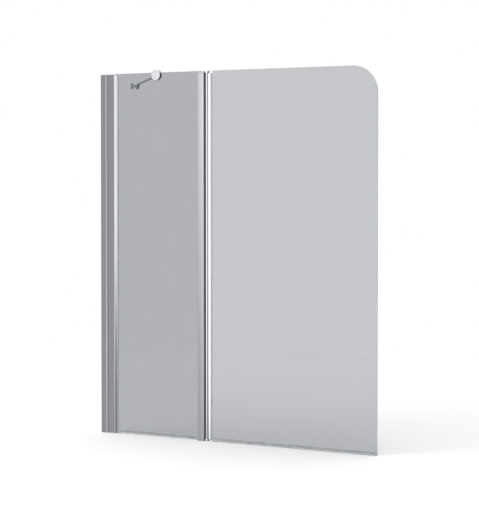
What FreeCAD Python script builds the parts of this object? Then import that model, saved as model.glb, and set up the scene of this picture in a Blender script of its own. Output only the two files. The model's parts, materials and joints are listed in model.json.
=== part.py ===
import FreeCAD, Part
import math
import os
import Sketcher
from types import SimpleNamespace
from FreeCAD import Placement, Rotation, Vector

# Two-panel bath screen: a narrow fixed panel in a wall profile, a hinge post, and a
# wide panel that swings about a vertical pivot. A brace stays the fixed panel to the wall.
# X runs along the screen from the wall face, -Y faces the room, +Z is up and zero is the rim.

# Driving dimensions in millimetres, with counts and shares named as such
SIZES = {
    # Whole screen
    "screen_width": 1200,
    "screen_height": 1400,
    "metal_reveal": 2,
    "pivot_offset": 484.5,
    "glass_thickness": 6,
    "glass_arris": 0.6,
    "free_corner_radius": 100,
    # Clearances
    "slide_clearance": 0.3,
    "glazing_clearance": 0.1,
    "seat_clearance": 0.1,
    "press_clearance": 0.02,
    "running_clearance": 0.05,
    "screw_clearance": 0.2,
    "cut_overrun": 2,
    # Wall profile, a channel open towards the glass
    "wall_profile_width": 30,
    "wall_profile_web": 2.2,
    "wall_profile_flange": 2,
    "lip_step": 1,
    "lip_length": 7,
    "lip_run_out": 1.5,
    "lip_edge": 0.9,
    "lip_bevel_length": 5.5,
    "lip_bevel_round": 3,
    "wall_hole_radius": 3,
    "wall_hole_count": 4,
    "wall_hole_margin": 100,
    # Adjusting profile, which slides in the wall profile and holds the fixed glass
    "adjusting_depth": 19.4,
    "adjusting_showing": 41,
    "adjusting_wall": 1.8,
    "adjusting_web": 2,
    "adjusting_slot_depth": 16,
    "nose_length": 9,
    "nose_edge": 0.9,
    "nose_round": 4,
    "nose_edge_round_share": 0.65,
    # Screws that lock the adjusting profile, and their caps
    "lock_screw_count": 3,
    "lock_screw_margin": 120,
    "lock_screw_setback": 5.5,
    "lock_screw_edge": 5,
    "lock_screw_radius": 1.75,
    "lock_screw_length": 8.5,
    "lock_screw_tip": 1.6,
    "lock_screw_head_radius": 3.4,
    "lock_screw_head_height": 2.2,
    "head_round_share": 0.56,
    "screw_cap_radius": 5.4,
    "screw_cap_height": 3.6,
    "screw_cap_skin": 1,
    "screw_cap_round_share": 0.66,
    # Cap over the tops of both wall-side profiles
    "top_cap_thickness": 2.5,
    "top_cap_plug_depth": 10,
    # Glazing gaskets and setting blocks
    "gasket_thickness": 1.6,
    "gasket_bead": 3,
    "gasket_bead_overlap": 0.7,
    "gasket_bead_taper": 0.5,
    "setting_block_length": 10,
    # Bottom seals
    "seal_height": 11,
    "seal_grip": 1.2,
    "seal_base": 1.7,
    "seal_foot_height": 3,
    "seal_foot_width": 5.6,
    "seal_end_gap": 0.5,
    "seal_lift": 0.3,
    "seal_fin": 1,
    "drip_lip_reach": 4,
    # Hinge post on the fixed glass
    "post_depth": 25,
    "post_wall": 1.8,
    "post_web": 2,
    "post_slot_depth": 14,
    "post_slot_rib": 1.4,
    "post_glass_side_round": 1.6,
    "post_hinge_side_round": 3.4,
    "post_core_width": 5.6,
    "post_core_depth": 9,
    # Strip that closes the hinge gap, keyed into the post
    "gap_strip_edge": 0.5,
    "gap_strip_thickness": 2,
    "gap_strip_key_width": 4,
    "gap_strip_key_depth": 2.6,
    # Pivot brackets on the ends of the post
    "hinge_gap": 0.8,
    "bracket_thickness": 6,
    "bracket_arm_clearance": 1.5,
    "bracket_arm_round_share": 0.83,
    "bracket_skin": 1.4,
    "bracket_screw_spacing": 16,
    "bracket_screw_radius": 1.6,
    "bracket_screw_length": 20,
    "bracket_screw_tip": 1.6,
    "bracket_screw_head_radius": 3.4,
    "bracket_screw_head_height": 1.9,
    "recess_length": 3.6,
    "recess_width": 0.9,
    "recess_depth": 1.1,
    # Pivot pins and their bushes
    "pin_radius": 3,
    "pin_reach": 13,
    "pin_chamfer": 0.6,
    "bush_wall": 1.35,
    "bush_length": 14,
    "bush_flange_width": 3,
    "bush_flange_thickness": 0.6,
    "end_play": 0.4,
    # Swing profile, a barrel about the pivot with a channel for the glass
    "barrel_radius": 9.7,
    "barrel_web": 1.8,
    "channel_grip": 8,
    "channel_wall": 1.7,
    "channel_round_share": 0.76,
    # Brace clamp on the top edge of the fixed glass
    "clamp_offset": 253,
    "clamp_radius": 20,
    "clamp_bridge": 10,
    "clamp_front": 4,
    "clamp_back": 5,
    "clamp_edge_round": 1.2,
    "clamp_pad_thickness": 1,
    "clamp_pad_inset": 0.5,
    "clamp_grub_radius": 2.5,
    "clamp_grub_drop": 11.5,
    # Swivel socket and rod of the brace
    "ball_radius": 7.5,
    "ball_standoff": 4,
    "socket_radius": 6.5,
    "socket_floor": 2,
    "socket_bore_depth": 16.5,
    "socket_screw_radius": 2,
    "socket_screw_length": 10,
    "socket_screw_head_radius": 3.8,
    "socket_screw_head_height": 2,
    "rod_radius": 4,
    "rod_grub_radius": 2,
    "rod_grub_recess_radius": 1.1,
    "rod_grub_recess_depth": 1,
    "rod_grub_setback": 5,
    "rod_grub_spacing": 7,
    # Rod end at the wall, with a level tongue on a vertical screw
    "tongue_thickness": 4,
    "tongue_width": 11,
    "tongue_eye_radius": 6.5,
    "rod_lift": 6,
    "rod_end_gap": 3,
    "rod_riser_length": 8,
    "rod_riser_share": 0.8,
    "rod_neck_length": 14,
    "rod_stud_radius": 2.5,
    "rod_stud_length": 14,
    # Fork bracket on the wall
    "fork_drop": 37,
    "fork_offset": 204,
    "fork_reach": 27,
    "fork_ear_thickness": 2.4,
    "fork_ear_width": 14,
    "fork_ear_round_share": 0.8,
    "fork_plate_thickness": 3,
    "fork_plate_width": 18,
    "fork_plate_height": 24,
    "fork_plate_round_share": 0.75,
    "fork_hole_radius": 2,
    "fork_hole_spacing": 17,
    "fork_boss_gap": 1.5,
    "fork_screw_radius": 2.5,
    "fork_screw_head_radius": 4.8,
    "fork_screw_head_height": 2.6,
    "cap_nut_radius": 7.6,
    "cap_nut_hex_height": 4,
    "cap_nut_dome_radius": 6.3,
    "cap_nut_dome_height": 5,
    "cap_nut_dome_round_share": 0.74,
    "cap_nut_thread_depth": 6,
}

doc = FreeCAD.newDocument("bath_screen")
sheet = doc.addObject("Spreadsheet::Sheet", "Sizes")
for row, (alias, number) in enumerate(SIZES.items(), start=1):
    sheet.set(f"A{row}", alias)
    sheet.set(f"B{row}", str(number))
    sheet.setAlias(f"B{row}", alias)
doc.recompute()


class Size:
    """A length from the sheet, or one worked out from others: its expression and its value."""

    def __init__(self, text, value):
        self.text = text
        self.value = value

    def __add__(self, other):
        return Size(f"({self.text} + {as_size(other).text})", self.value + as_size(other).value)

    def __radd__(self, other):
        return as_size(other) + self

    def __sub__(self, other):
        return Size(f"({self.text} - {as_size(other).text})", self.value - as_size(other).value)

    def __rsub__(self, other):
        return as_size(other) - self

    def __mul__(self, other):
        return Size(f"({self.text} * {as_size(other).text})", self.value * as_size(other).value)

    __rmul__ = __mul__

    def __truediv__(self, divisor):
        return Size(f"({self.text} / {divisor})", self.value / divisor)

    def __neg__(self):
        return Size(f"(-{self.text})", -self.value)


def as_size(value):
    """Turns a plain number into a Size and leaves a Size as it is."""
    return value if isinstance(value, Size) else Size(str(value), value)


def diagonal(*sides):
    """The length of a line that spans the given sides of a box."""
    squares = " + ".join(f"{side.text} ^ 2" for side in sides)
    return Size(f"sqrt({squares})", math.hypot(*(side.value for side in sides)))


S = SimpleNamespace(**{alias: Size(f"Sizes.{alias}", float(sheet.get(alias))) for alias in SIZES})
ALONG_X = Rotation(Vector(0, 1, 0), 90)
ALONG_Y = Rotation(Vector(1, 0, 0), -90)
TOP_DOWN = Rotation(Vector(1, 0, 0), 180)
FACING_DOWN = Rotation(Vector(0, 1, 0), 180)


def place(thing, x=0, y=0, z=0, rotation=Rotation()):
    """Puts an object at a place bound to the sheet, turned by a fixed rotation."""
    thing.Placement = Placement(Vector(), rotation)
    for axis, position in zip("xyz", (x, y, z)):
        thing.setExpression(f"Placement.Base.{axis}", as_size(position).text)
    return thing


# Sketches and features of PartDesign bodies


def new_body(label):
    """Adds an empty body whose label names the piece."""
    body = doc.addObject("PartDesign::Body", label)
    body.Label = label
    return body


def new_sketch(body, plane, offset=0):
    """Adds a sketch on one of the body's origin planes, moved along that plane's normal."""
    support = next(f for f in body.Origin.OriginFeatures if f.Role == f"{plane}_Plane")
    sketch = body.newObject("Sketcher::SketchObject", f"{body.Name}_{plane}")
    sketch.AttachmentSupport = [(support, "")]
    sketch.MapMode = "FlatFace"
    sketch.setExpression("AttachmentOffset.Base.z", as_size(offset).text)
    return sketch


def pin_point(sketch, geometry, point, x, y):
    """Ties a point of the sketch to coordinates from the sheet."""
    for direction, axis_line, coordinate in (("X", -2, as_size(x)), ("Y", -1, as_size(y))):
        if coordinate.value == 0:
            sketch.addConstraint(Sketcher.Constraint("PointOnObject", geometry, point, axis_line))
            continue
        rule = Sketcher.Constraint(f"Distance{direction}", -1, 1, geometry, point, coordinate.value)
        sketch.setExpression(f"Constraints[{sketch.addConstraint(rule)}]", coordinate.text)


def bind_radius(sketch, geometry, radius):
    """Ties the radius of a circle or an arc to the sheet."""
    rule = Sketcher.Constraint("Radius", geometry, radius.value)
    sketch.setExpression(f"Constraints[{sketch.addConstraint(rule)}]", radius.text)


def draw_circle(sketch, x, y, radius):
    """Draws a circle about a point."""
    centre = Vector(as_size(x).value, as_size(y).value, 0)
    circle = sketch.addGeometry(Part.Circle(centre, Vector(0, 0, 1), radius.value))
    pin_point(sketch, circle, 3, x, y)
    bind_radius(sketch, circle, radius)


def draw_outline(sketch, corners):
    """Draws a closed outline. A corner is (x, y), or (x, y, radius) where it is rounded."""
    points = [Vector(as_size(c[0]).value, as_size(c[1]).value, 0) for c in corners]
    count = len(points)
    entries = list(points)
    exits = list(points)
    arcs = {}
    for i, corner in enumerate(corners):
        if len(corner) == 2:
            continue
        back = (points[i - 1] - points[i]).normalize()
        ahead = (points[(i + 1) % count] - points[i]).normalize()
        half_angle = back.getAngle(ahead) / 2
        tangent = corner[2].value / math.tan(half_angle)
        entries[i] = points[i] + back * tangent
        exits[i] = points[i] + ahead * tangent
        middle = (back + ahead).normalize()
        centre = points[i] + middle * (corner[2].value / math.sin(half_angle))
        crown = centre - middle * corner[2].value
        turns_left = ahead.cross(back).z > 0
        arcs[i] = (Part.Arc(entries[i], crown, exits[i]), turns_left)
    ends = zip(exits, entries[1:] + entries[:1])
    lines = [sketch.addGeometry(Part.LineSegment(start, end)) for start, end in ends]
    for i, corner in enumerate(corners):
        before, after = lines[i - 1], lines[i]
        if i not in arcs:
            sketch.addConstraint(Sketcher.Constraint("Coincident", before, 2, after, 1))
            pin_point(sketch, after, 1, corner[0], corner[1])
            continue
        curve, turns_left = arcs[i]
        arc = sketch.addGeometry(curve)
        first, last = (1, 2) if turns_left else (2, 1)
        tip = sketch.addGeometry(Part.Point(points[i]), True)
        pin_point(sketch, tip, 1, corner[0], corner[1])
        for line in (before, after):
            sketch.addConstraint(Sketcher.Constraint("PointOnObject", tip, 1, line))
        sketch.addConstraint(Sketcher.Constraint("Tangent", before, 2, arc, first))
        sketch.addConstraint(Sketcher.Constraint("Tangent", arc, last, after, 1))
        bind_radius(sketch, arc, corner[2])


def mirrored(half):
    """Closes a half outline given on the -Y side with its mirror image on the +Y side."""
    return half + [(c[0], -as_size(c[1]), *c[2:]) for c in reversed(half)]


def rectangle(x_low, y_low, x_high, y_high):
    """Corners of a plain rectangle."""
    return [(x_low, y_low), (x_high, y_low), (x_high, y_high), (x_low, y_high)]


def pad(sketch, length, both_ways=False, reverse=False):
    """Pads a sketch along its normal, or half each way."""
    body = sketch.getParentGeoFeatureGroup()
    feature = body.newObject("PartDesign::Pad", f"{sketch.Name}_pad")
    feature.Profile = sketch
    feature.setExpression("Length", length.text)
    feature.SideType = "Symmetric" if both_ways else "One side"
    feature.Reversed = reverse
    doc.recompute()
    return feature


def pocket(sketch, depth=None, both_ways=False, reverse=False):
    """Cuts a sketch against its normal, right through where no depth is given."""
    body = sketch.getParentGeoFeatureGroup()
    before = body.Shape.Volume
    feature = body.newObject("PartDesign::Pocket", f"{sketch.Name}_pocket")
    feature.Profile = sketch
    feature.Type = "Length" if depth else "ThroughAll"
    if depth:
        feature.setExpression("Length", depth.text)
    feature.SideType = "Symmetric" if both_ways else "One side"
    feature.Reversed = reverse
    doc.recompute()
    if not body.Shape.Volume < before:
        raise RuntimeError(f"{feature.Name} cuts nothing")
    return feature


def extrusion(label, outline, base, length, hollows=()):
    """Makes an upright extruded profile from its outline and the outlines of its hollows."""
    body = new_body(label)
    sketch = new_sketch(body, "XY", base)
    draw_outline(sketch, outline)
    for hollow in hollows:
        draw_outline(sketch, hollow)
    pad(sketch, length)
    return body


def strip(label, outline, start, length):
    """Makes a strip that runs along X from its section across Y and Z."""
    body = new_body(label)
    sketch = new_sketch(body, "YZ", start)
    draw_outline(sketch, outline)
    pad(sketch, length)
    return body


def turned(label, half_section):
    """Makes a turned piece from its half section of radius and height."""
    body = new_body(label)
    sketch = new_sketch(body, "XZ")
    draw_outline(sketch, half_section)
    feature = body.newObject("PartDesign::Revolution", f"{label}_turn")
    feature.Profile = sketch
    feature.ReferenceAxis = (sketch, ["V_Axis"])
    doc.recompute()
    return body


def cross_recess(body, top):
    """Cuts a cross recess down into a screw head."""
    sketch = new_sketch(body, "XY", top)
    arm = S.recess_length / 2
    web = S.recess_width / 2
    half = [(-arm, -web), (-web, -web), (-web, -arm), (web, -arm), (web, -web), (arm, -web)]
    draw_outline(sketch, mirrored(half))
    pocket(sketch, S.recess_depth)


# Part primitives, booleans and copies


def cylinder(name, radius, length):
    """Adds a cylinder that stands on its origin."""
    thing = doc.addObject("Part::Cylinder", name)
    thing.setExpression("Radius", radius.text)
    thing.setExpression("Height", length.text)
    return thing


def box(name, along_x, along_y, along_z):
    """Adds a box whose low corner is its origin."""
    thing = doc.addObject("Part::Box", name)
    for side, size in zip(("Length", "Width", "Height"), (along_x, along_y, along_z)):
        thing.setExpression(side, size.text)
    return thing


def fuse(label, pieces):
    """Joins solids into one."""
    thing = doc.addObject("Part::MultiFuse", label)
    thing.Label = label
    thing.Shapes = pieces
    return thing


def cut(label, base, tools):
    """Cuts tools out of a solid and checks that each of them removes something."""
    thing = base
    for number, tool in enumerate(tools, start=1):
        doc.recompute()
        before = thing.Shape.Volume
        step = doc.addObject("Part::Cut", f"{label}_cut_{number}")
        step.Base = thing
        step.Tool = tool
        doc.recompute()
        if not step.Shape.Volume < before:
            raise RuntimeError(f"{tool.Name} cuts nothing")
        thing = step
    thing.Label = label
    return thing


def upside_down(label, source):
    """Makes the lower copy of a piece, the mirror image about the middle of the metal."""
    thing = doc.addObject("Part::Mirroring", label)
    thing.Label = label
    thing.Source = source
    thing.Normal = Vector(0, 0, 1)
    thing.setExpression("Base.z", (metal_top / 2).text)
    return thing


def grouped(label, pieces):
    """Keeps like pieces together in one node of separate solids."""
    thing = doc.addObject("Part::Compound", label)
    thing.Label = label
    thing.Links = pieces
    return thing


def copy_of(source, x, y, z, rotation):
    """Adds a copy of a piece at a place of its own."""
    link = doc.addObject("App::Link", f"{source.Name}_copy")
    link.LinkedObject = source
    return place(link, x, y, z, rotation)


def spread(count, margin):
    """Heights of evenly spaced places that keep a margin to both ends of the screen."""
    pitch = (S.screen_height - margin * 2) / (count - 1)
    return [margin + pitch * number for number in range(count)]


# Places that several pieces share

glass_half = S.glass_thickness / 2
bed = S.gasket_thickness + S.glazing_clearance * 2
slot_half = glass_half + bed
glass_cut_half = glass_half + S.glazing_clearance * 2

adjusting_half = S.adjusting_depth / 2
lip_inner = adjusting_half + S.slide_clearance
wall_half = lip_inner + S.lip_step + S.wall_profile_flange
lock_screw_x = S.wall_profile_width - S.lip_length - S.lock_screw_setback
adjusting_start = lock_screw_x - S.lock_screw_edge
adjusting_end = S.wall_profile_width + S.adjusting_showing
adjusting_slot = adjusting_end - S.adjusting_slot_depth
chamber_half = adjusting_half - S.adjusting_wall
chamber_end = adjusting_slot - S.adjusting_web
metal_top = S.screen_height - S.metal_reveal
profile_top = metal_top - S.top_cap_thickness

pivot = S.pivot_offset
post_half = S.post_depth / 2
post_right = pivot - S.barrel_radius - S.hinge_gap
gap_strip_floor = post_right - S.gap_strip_thickness
gap_strip_key = gap_strip_floor - S.gap_strip_key_depth
gap_strip_half = post_half - S.post_hinge_side_round - S.gap_strip_edge
post_core_end = gap_strip_key - S.post_wall
post_core_start = post_core_end - S.post_core_width
post_slot = post_core_start - S.post_web
post_left = post_slot - S.post_slot_depth
post_top = metal_top - S.bracket_thickness
post_length = post_top - S.bracket_thickness
bracket_screw_x = post_core_start + S.bracket_screw_radius + S.screw_clearance

bush_radius = S.pin_radius + S.running_clearance + S.bush_wall
end_gap = S.bush_flange_thickness + S.end_play
swing_slot = pivot + bush_radius + S.press_clearance + S.barrel_web
swing_glass_left = swing_slot + bed
channel_end = swing_glass_left + S.channel_grip
swing_bottom = S.bracket_thickness + end_gap
swing_top = metal_top - swing_bottom

glass_bottom = S.seal_foot_height + S.seal_base + S.glazing_clearance
fixed_glass_left = adjusting_slot + bed
fixed_glass_right = post_slot - bed

lock_screw_heights = spread(int(SIZES["lock_screw_count"]), S.lock_screw_margin)
wall_hole_heights = spread(int(SIZES["wall_hole_count"]), S.wall_hole_margin)


# Wall side of the fixed panel


def lock_screw_holes(body, radius):
    """Drills the lock screws' holes through the bath-side flange."""
    sketch = new_sketch(body, "XZ")
    for height in lock_screw_heights:
        draw_circle(sketch, lock_screw_x, height, radius)
    pocket(sketch)


lip_outline = [
    (as_size(0), -wall_half),
    (S.wall_profile_width - S.lip_bevel_length, -wall_half, S.lip_bevel_round),
    (S.wall_profile_width, -(lip_inner + S.lip_edge)),
]
nose_outline = [
    (adjusting_end - S.nose_length, -adjusting_half, S.nose_round),
    (adjusting_end, -(slot_half + S.nose_edge), S.nose_edge * S.nose_edge_round_share),
]


def make_wall_profile():
    """The channel that is screwed to the wall."""
    inner = lip_inner + S.lip_step
    lip_start = S.wall_profile_width - S.lip_length
    body = extrusion("wall_profile", mirrored(lip_outline + [
        (S.wall_profile_width, -lip_inner),
        (lip_start, -lip_inner),
        (lip_start - S.lip_run_out, -inner),
        (S.wall_profile_web, -inner),
    ]), 0, profile_top)
    sketch = new_sketch(body, "YZ")
    for height in wall_hole_heights:
        draw_circle(sketch, 0, height, S.wall_hole_radius)
    pocket(sketch, both_ways=True)
    lock_screw_holes(body, S.lock_screw_radius + S.screw_clearance)
    return body


def make_adjusting_profile():
    """The profile that slides in the channel to take up a wall out of plumb."""
    body = extrusion("adjusting_profile", mirrored([
        (adjusting_start, -chamber_half),
        (adjusting_start, -adjusting_half),
        *nose_outline,
        (adjusting_end, -slot_half),
        (adjusting_slot, -slot_half),
    ]) + [(chamber_end, chamber_half), (chamber_end, -chamber_half)], 0, profile_top)
    lock_screw_holes(body, S.lock_screw_radius + S.screw_clearance)
    return body


def make_top_cap():
    """The cap over both profiles, with a plug in the chamber and a slot for the glass."""
    body = new_body("top_cap")
    plate = new_sketch(body, "XY", profile_top)
    draw_outline(plate, mirrored(lip_outline + [
        (S.wall_profile_width, -adjusting_half),
        *nose_outline,
        (adjusting_end, -glass_cut_half),
        (fixed_glass_left - S.glazing_clearance, -glass_cut_half),
    ]))
    pad(plate, S.top_cap_thickness)
    plug = new_sketch(body, "XY", profile_top)
    plug_half = chamber_half - S.seat_clearance
    plug_end = chamber_end - S.seat_clearance
    draw_outline(plug, rectangle(adjusting_start, -plug_half, plug_end, plug_half))
    pad(plug, S.top_cap_plug_depth, reverse=True)
    return body


def make_lock_screws():
    """The pan-head screws that lock the adjusting profile from the bath side."""
    screw = turned("lock_screw", [
        (0, -S.lock_screw_length),
        (S.lock_screw_radius, S.lock_screw_tip - S.lock_screw_length),
        (S.lock_screw_radius, 0),
        (S.lock_screw_head_radius, 0),
        (S.lock_screw_head_radius, S.lock_screw_head_height, S.lock_screw_head_height * S.head_round_share),
        (0, S.lock_screw_head_height),
    ])
    cross_recess(screw, S.lock_screw_head_height)
    return grouped("lock_screws", [
        copy_of(screw, lock_screw_x, wall_half, height, ALONG_Y) for height in lock_screw_heights
    ])


def make_screw_caps():
    """The push-on caps over the lock screws."""
    inner = S.lock_screw_head_radius + S.screw_clearance
    ceiling = S.screw_cap_height - S.screw_cap_skin
    cap = turned("screw_cap", [
        (inner, 0),
        (S.screw_cap_radius, 0),
        (S.screw_cap_radius, S.screw_cap_height, S.screw_cap_height * S.screw_cap_round_share),
        (0, S.screw_cap_height),
        (0, ceiling),
        (inner, ceiling),
    ])
    return grouped("screw_caps", [
        copy_of(cap, lock_screw_x, wall_half, height, ALONG_Y) for height in lock_screw_heights
    ])


# Glass, gaskets and seals


def make_glass(label, left, right, corner=()):
    """A sheet of toughened glass with arrised edges and, at most, one rounded top corner."""
    body = new_body(label)
    sketch = new_sketch(body, "XZ")
    top = S.screen_height
    draw_outline(sketch, [(left, glass_bottom), (right, glass_bottom), (right, top, *corner), (left, top)])
    sheet_pad = pad(sketch, S.glass_thickness, both_ways=True)
    arris = body.newObject("PartDesign::Chamfer", f"{label}_arris")
    arris.Base = (sheet_pad, [])
    arris.UseAllEdges = True
    arris.setExpression("Size", S.glass_arris.text)
    return body


def make_gasket(label, slot_floor, mouth, side, base, length):
    """A U-shaped glazing gasket in a slot that opens towards +X (side 1) or -X (side -1)."""
    inner = glass_half + S.glazing_clearance
    outer = inner + S.gasket_thickness
    bead_start = mouth + S.seat_clearance * side
    bead_end = mouth + S.gasket_bead * side
    back = slot_floor + S.glazing_clearance * side
    return extrusion(label, mirrored([
        (back, -outer),
        (bead_start, -outer),
        (bead_start, -(outer + S.gasket_bead_overlap)),
        (bead_end, -(inner + S.gasket_bead_taper)),
        (bead_end, -inner),
        (back + S.gasket_thickness * side, -inner),
    ]), base, length)


def make_setting_blocks():
    """The blocks that carry the fixed glass at its two bottom corners."""
    blocks = []
    for name, start in (
        ("wall_block", fixed_glass_left),
        ("post_block", fixed_glass_right - S.setting_block_length),
    ):
        block = box(name, S.setting_block_length, S.glass_thickness, glass_bottom - S.seat_clearance)
        blocks.append(place(block, start, -glass_half))
    return grouped("setting_blocks", blocks)


def make_bottom_seal(label, start, end, foot):
    """A seal pushed on the bottom edge of a glass, with its foot's points from -Y to +Y."""
    inner = glass_half + S.glazing_clearance
    outer = inner + S.seal_grip
    floor = S.seal_foot_height + S.seal_base
    grip = [
        (outer, S.seal_foot_height),
        (outer, S.seal_height),
        (inner, S.seal_height),
        (inner, floor),
        (-inner, floor),
        (-inner, S.seal_height),
        (-outer, S.seal_height),
        (-outer, S.seal_foot_height),
    ]
    return strip(label, grip + foot, start, end - start)


def make_fixed_bottom_seal():
    """The seal under the fixed glass, which stands flat on the rim."""
    clear = S.gasket_bead + S.seal_end_gap
    foot = S.seal_foot_width / 2
    return make_bottom_seal(
        "fixed_bottom_seal", adjusting_end + clear, post_left - clear, [(-foot, 0), (foot, 0)]
    )


def make_swing_bottom_seal():
    """The seal under the swinging glass, with a plain fin and a drip lip that clear the rim."""
    outer = glass_half + S.glazing_clearance + S.seal_grip
    top = S.seal_foot_height
    fins = [
        (S.seal_fin - outer, S.seal_lift),
        (S.seal_fin * 2 - outer, S.seal_lift),
        (S.seal_fin * 2 - outer, top),
        (S.seal_fin, top),
        (S.drip_lip_reach, S.seal_lift),
        (S.drip_lip_reach + S.seal_fin, S.seal_lift),
    ]
    start = channel_end + S.gasket_bead + S.seal_end_gap
    return make_bottom_seal("swing_bottom_seal", start, S.screen_width - S.seal_end_gap, fins)


# Hinge post and pivots


def make_hinge_post():
    """The hollow post on the fixed glass, with ports for the bracket screws."""
    key_half = S.gap_strip_key_width / 2 + S.seat_clearance
    outline = mirrored([
        (post_left, -slot_half),
        (post_left, -post_half, S.post_glass_side_round),
        (post_right, -post_half, S.post_hinge_side_round),
        (post_right, -gap_strip_half),
        (gap_strip_floor, -gap_strip_half),
        (gap_strip_floor, -key_half),
        (gap_strip_key, -key_half),
    ]) + [(post_slot, slot_half), (post_slot, -slot_half)]
    core_half = S.post_core_depth / 2
    hollows = [rectangle(post_core_start, -core_half, post_core_end, core_half)]
    for side in (1, -1):
        inner = (slot_half + S.post_slot_rib) * side
        outer = (post_half - S.post_wall) * side
        hollows.append(rectangle(post_left + S.post_wall, inner, post_slot, outer))
    body = extrusion("hinge_post", outline, S.bracket_thickness, post_length, hollows)
    ports = new_sketch(body, "XY")
    for side in (1, -1):
        y = S.bracket_screw_spacing / 2 * side
        draw_circle(ports, bracket_screw_x, y, S.bracket_screw_radius + S.seat_clearance)
    pocket(ports, both_ways=True)
    return body


def make_gap_strip():
    """The rubber strip keyed into the post that closes the hinge gap."""
    half = gap_strip_half - S.seat_clearance
    key_half = S.gap_strip_key_width / 2
    face = post_right - S.seat_clearance
    back = gap_strip_floor + S.seat_clearance
    key = gap_strip_key + S.seat_clearance
    outline = [(key, -key_half), (back, -key_half), (back, -half), (face, -half)]
    return extrusion("hinge_gap_strip", mirrored(outline), S.bracket_thickness, post_length)


def make_pivot_bracket():
    """The upper pivot bracket: a plate on the post with an arm over the barrel."""
    arm_half = swing_glass_left - pivot - S.bracket_arm_clearance
    body = extrusion("pivot_bracket_top", mirrored([
        (fixed_glass_right + S.glazing_clearance, -glass_cut_half),
        (post_left, -glass_cut_half),
        (post_left, -post_half, S.post_glass_side_round),
        (post_right, -post_half, S.post_hinge_side_round),
        (post_right, -arm_half),
        (pivot + arm_half, -arm_half, arm_half * S.bracket_arm_round_share),
    ]), post_top, S.bracket_thickness)
    pin_hole = new_sketch(body, "XY", post_top)
    draw_circle(pin_hole, pivot, 0, S.pin_radius + S.press_clearance)
    pocket(pin_hole, S.bracket_thickness - S.bracket_skin, reverse=True)
    shafts = new_sketch(body, "XY", metal_top)
    for side in (1, -1):
        y = S.bracket_screw_spacing / 2 * side
        draw_circle(shafts, bracket_screw_x, y, S.bracket_screw_radius + S.screw_clearance)
    holes = body.newObject("PartDesign::Hole", "bracket_screw_holes")
    holes.Profile = shafts
    holes.setExpression("Diameter", ((S.bracket_screw_radius + S.screw_clearance) * 2).text)
    holes.DepthType = "ThroughAll"
    holes.HoleCutType = "Countersink"
    holes.HoleCutCustomValues = True
    holes.setExpression("HoleCutDiameter", ((S.bracket_screw_head_radius + S.screw_clearance) * 2).text)
    spread_of_cone = S.bracket_screw_head_radius.value - S.bracket_screw_radius.value
    half_cone = math.degrees(math.atan2(spread_of_cone, S.bracket_screw_head_height.value))
    holes.HoleCutCountersinkAngle = half_cone * 2
    doc.recompute()
    return body


def make_bracket_screws():
    """The countersunk screws of both pivot brackets."""
    screw = turned("bracket_screw", [
        (0, -S.bracket_screw_length),
        (S.bracket_screw_radius, S.bracket_screw_tip - S.bracket_screw_length),
        (S.bracket_screw_radius, -S.bracket_screw_head_height),
        (S.bracket_screw_head_radius, 0),
        (0, 0),
    ])
    cross_recess(screw, 0)
    places = []
    for side in (1, -1):
        y = S.bracket_screw_spacing / 2 * side
        places.append((bracket_screw_x, y, metal_top - S.seat_clearance, Rotation()))
        places.append((bracket_screw_x, y, S.seat_clearance, TOP_DOWN))
    return grouped("pivot_bracket_screws", [copy_of(screw, *where) for where in places])


def make_pivot_pin():
    """The upper pivot pin, pressed into the bracket."""
    top = S.bracket_thickness - S.bracket_skin - S.seat_clearance
    foot = -(end_gap + S.pin_reach)
    inner = S.pin_radius - S.pin_chamfer
    pin = turned("pivot_pin_top", [
        (0, foot),
        (inner, foot),
        (S.pin_radius, foot + S.pin_chamfer),
        (S.pin_radius, top),
        (0, top),
    ])
    return place(pin, pivot, 0, post_top)


def make_pivot_bush():
    """The upper flanged bush in the end of the barrel, which runs on the pin."""
    bore = S.pin_radius + S.running_clearance
    flange = bush_radius + S.bush_flange_width
    bush = turned("pivot_bush_top", [
        (bore, -S.bush_length),
        (bush_radius, -S.bush_length),
        (bush_radius, 0),
        (flange, 0),
        (flange, S.bush_flange_thickness),
        (bore, S.bush_flange_thickness),
    ])
    return place(bush, pivot, 0, swing_top)


def make_swing_profile():
    """The barrel about the pivot with its channel for the swinging glass."""
    body = new_body("swing_hinge_profile")
    length = swing_top - swing_bottom
    barrel = new_sketch(body, "XY", swing_bottom)
    draw_circle(barrel, pivot, 0, S.barrel_radius)
    pad(barrel, length)
    channel = new_sketch(body, "XY", swing_bottom)
    half = slot_half + S.channel_wall
    edge_round = S.channel_wall * S.channel_round_share
    draw_outline(channel, mirrored([(pivot, -half), (channel_end, -half, edge_round)]))
    pad(channel, length)
    slot = new_sketch(body, "XY")
    draw_outline(slot, rectangle(swing_slot, -slot_half, channel_end + S.cut_overrun, slot_half))
    pocket(slot, both_ways=True)
    bore = new_sketch(body, "XY")
    draw_circle(bore, pivot, 0, bush_radius + S.press_clearance)
    pocket(bore, both_ways=True)
    return body


# Brace from the fixed glass to the wall

clamp_height = S.screen_height + S.clamp_bridge - S.clamp_radius
clamp_slot_half = glass_half + S.clamp_pad_thickness + S.glazing_clearance * 2
clamp_front_face = clamp_slot_half + S.clamp_front
clamp_back_face = clamp_slot_half + S.clamp_back
ball_y = clamp_back_face + S.ball_standoff
fork_height = S.screen_height - S.fork_drop
rod_height = fork_height + S.rod_lift

rod_run = (S.clamp_offset - S.fork_reach, ball_y - S.fork_offset, clamp_height - rod_height)
rod_span = diagonal(*rod_run)
rod_root = Vector(S.fork_reach.value, S.fork_offset.value, rod_height.value)
rod_line = Vector(*(side.value for side in rod_run))
rod_yaw = math.degrees(math.atan2(rod_line.y, rod_line.x))
rod_slope = math.degrees(math.asin(rod_line.z / rod_line.Length))
rod_turn = Rotation(rod_yaw, -rod_slope, 0)


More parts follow.
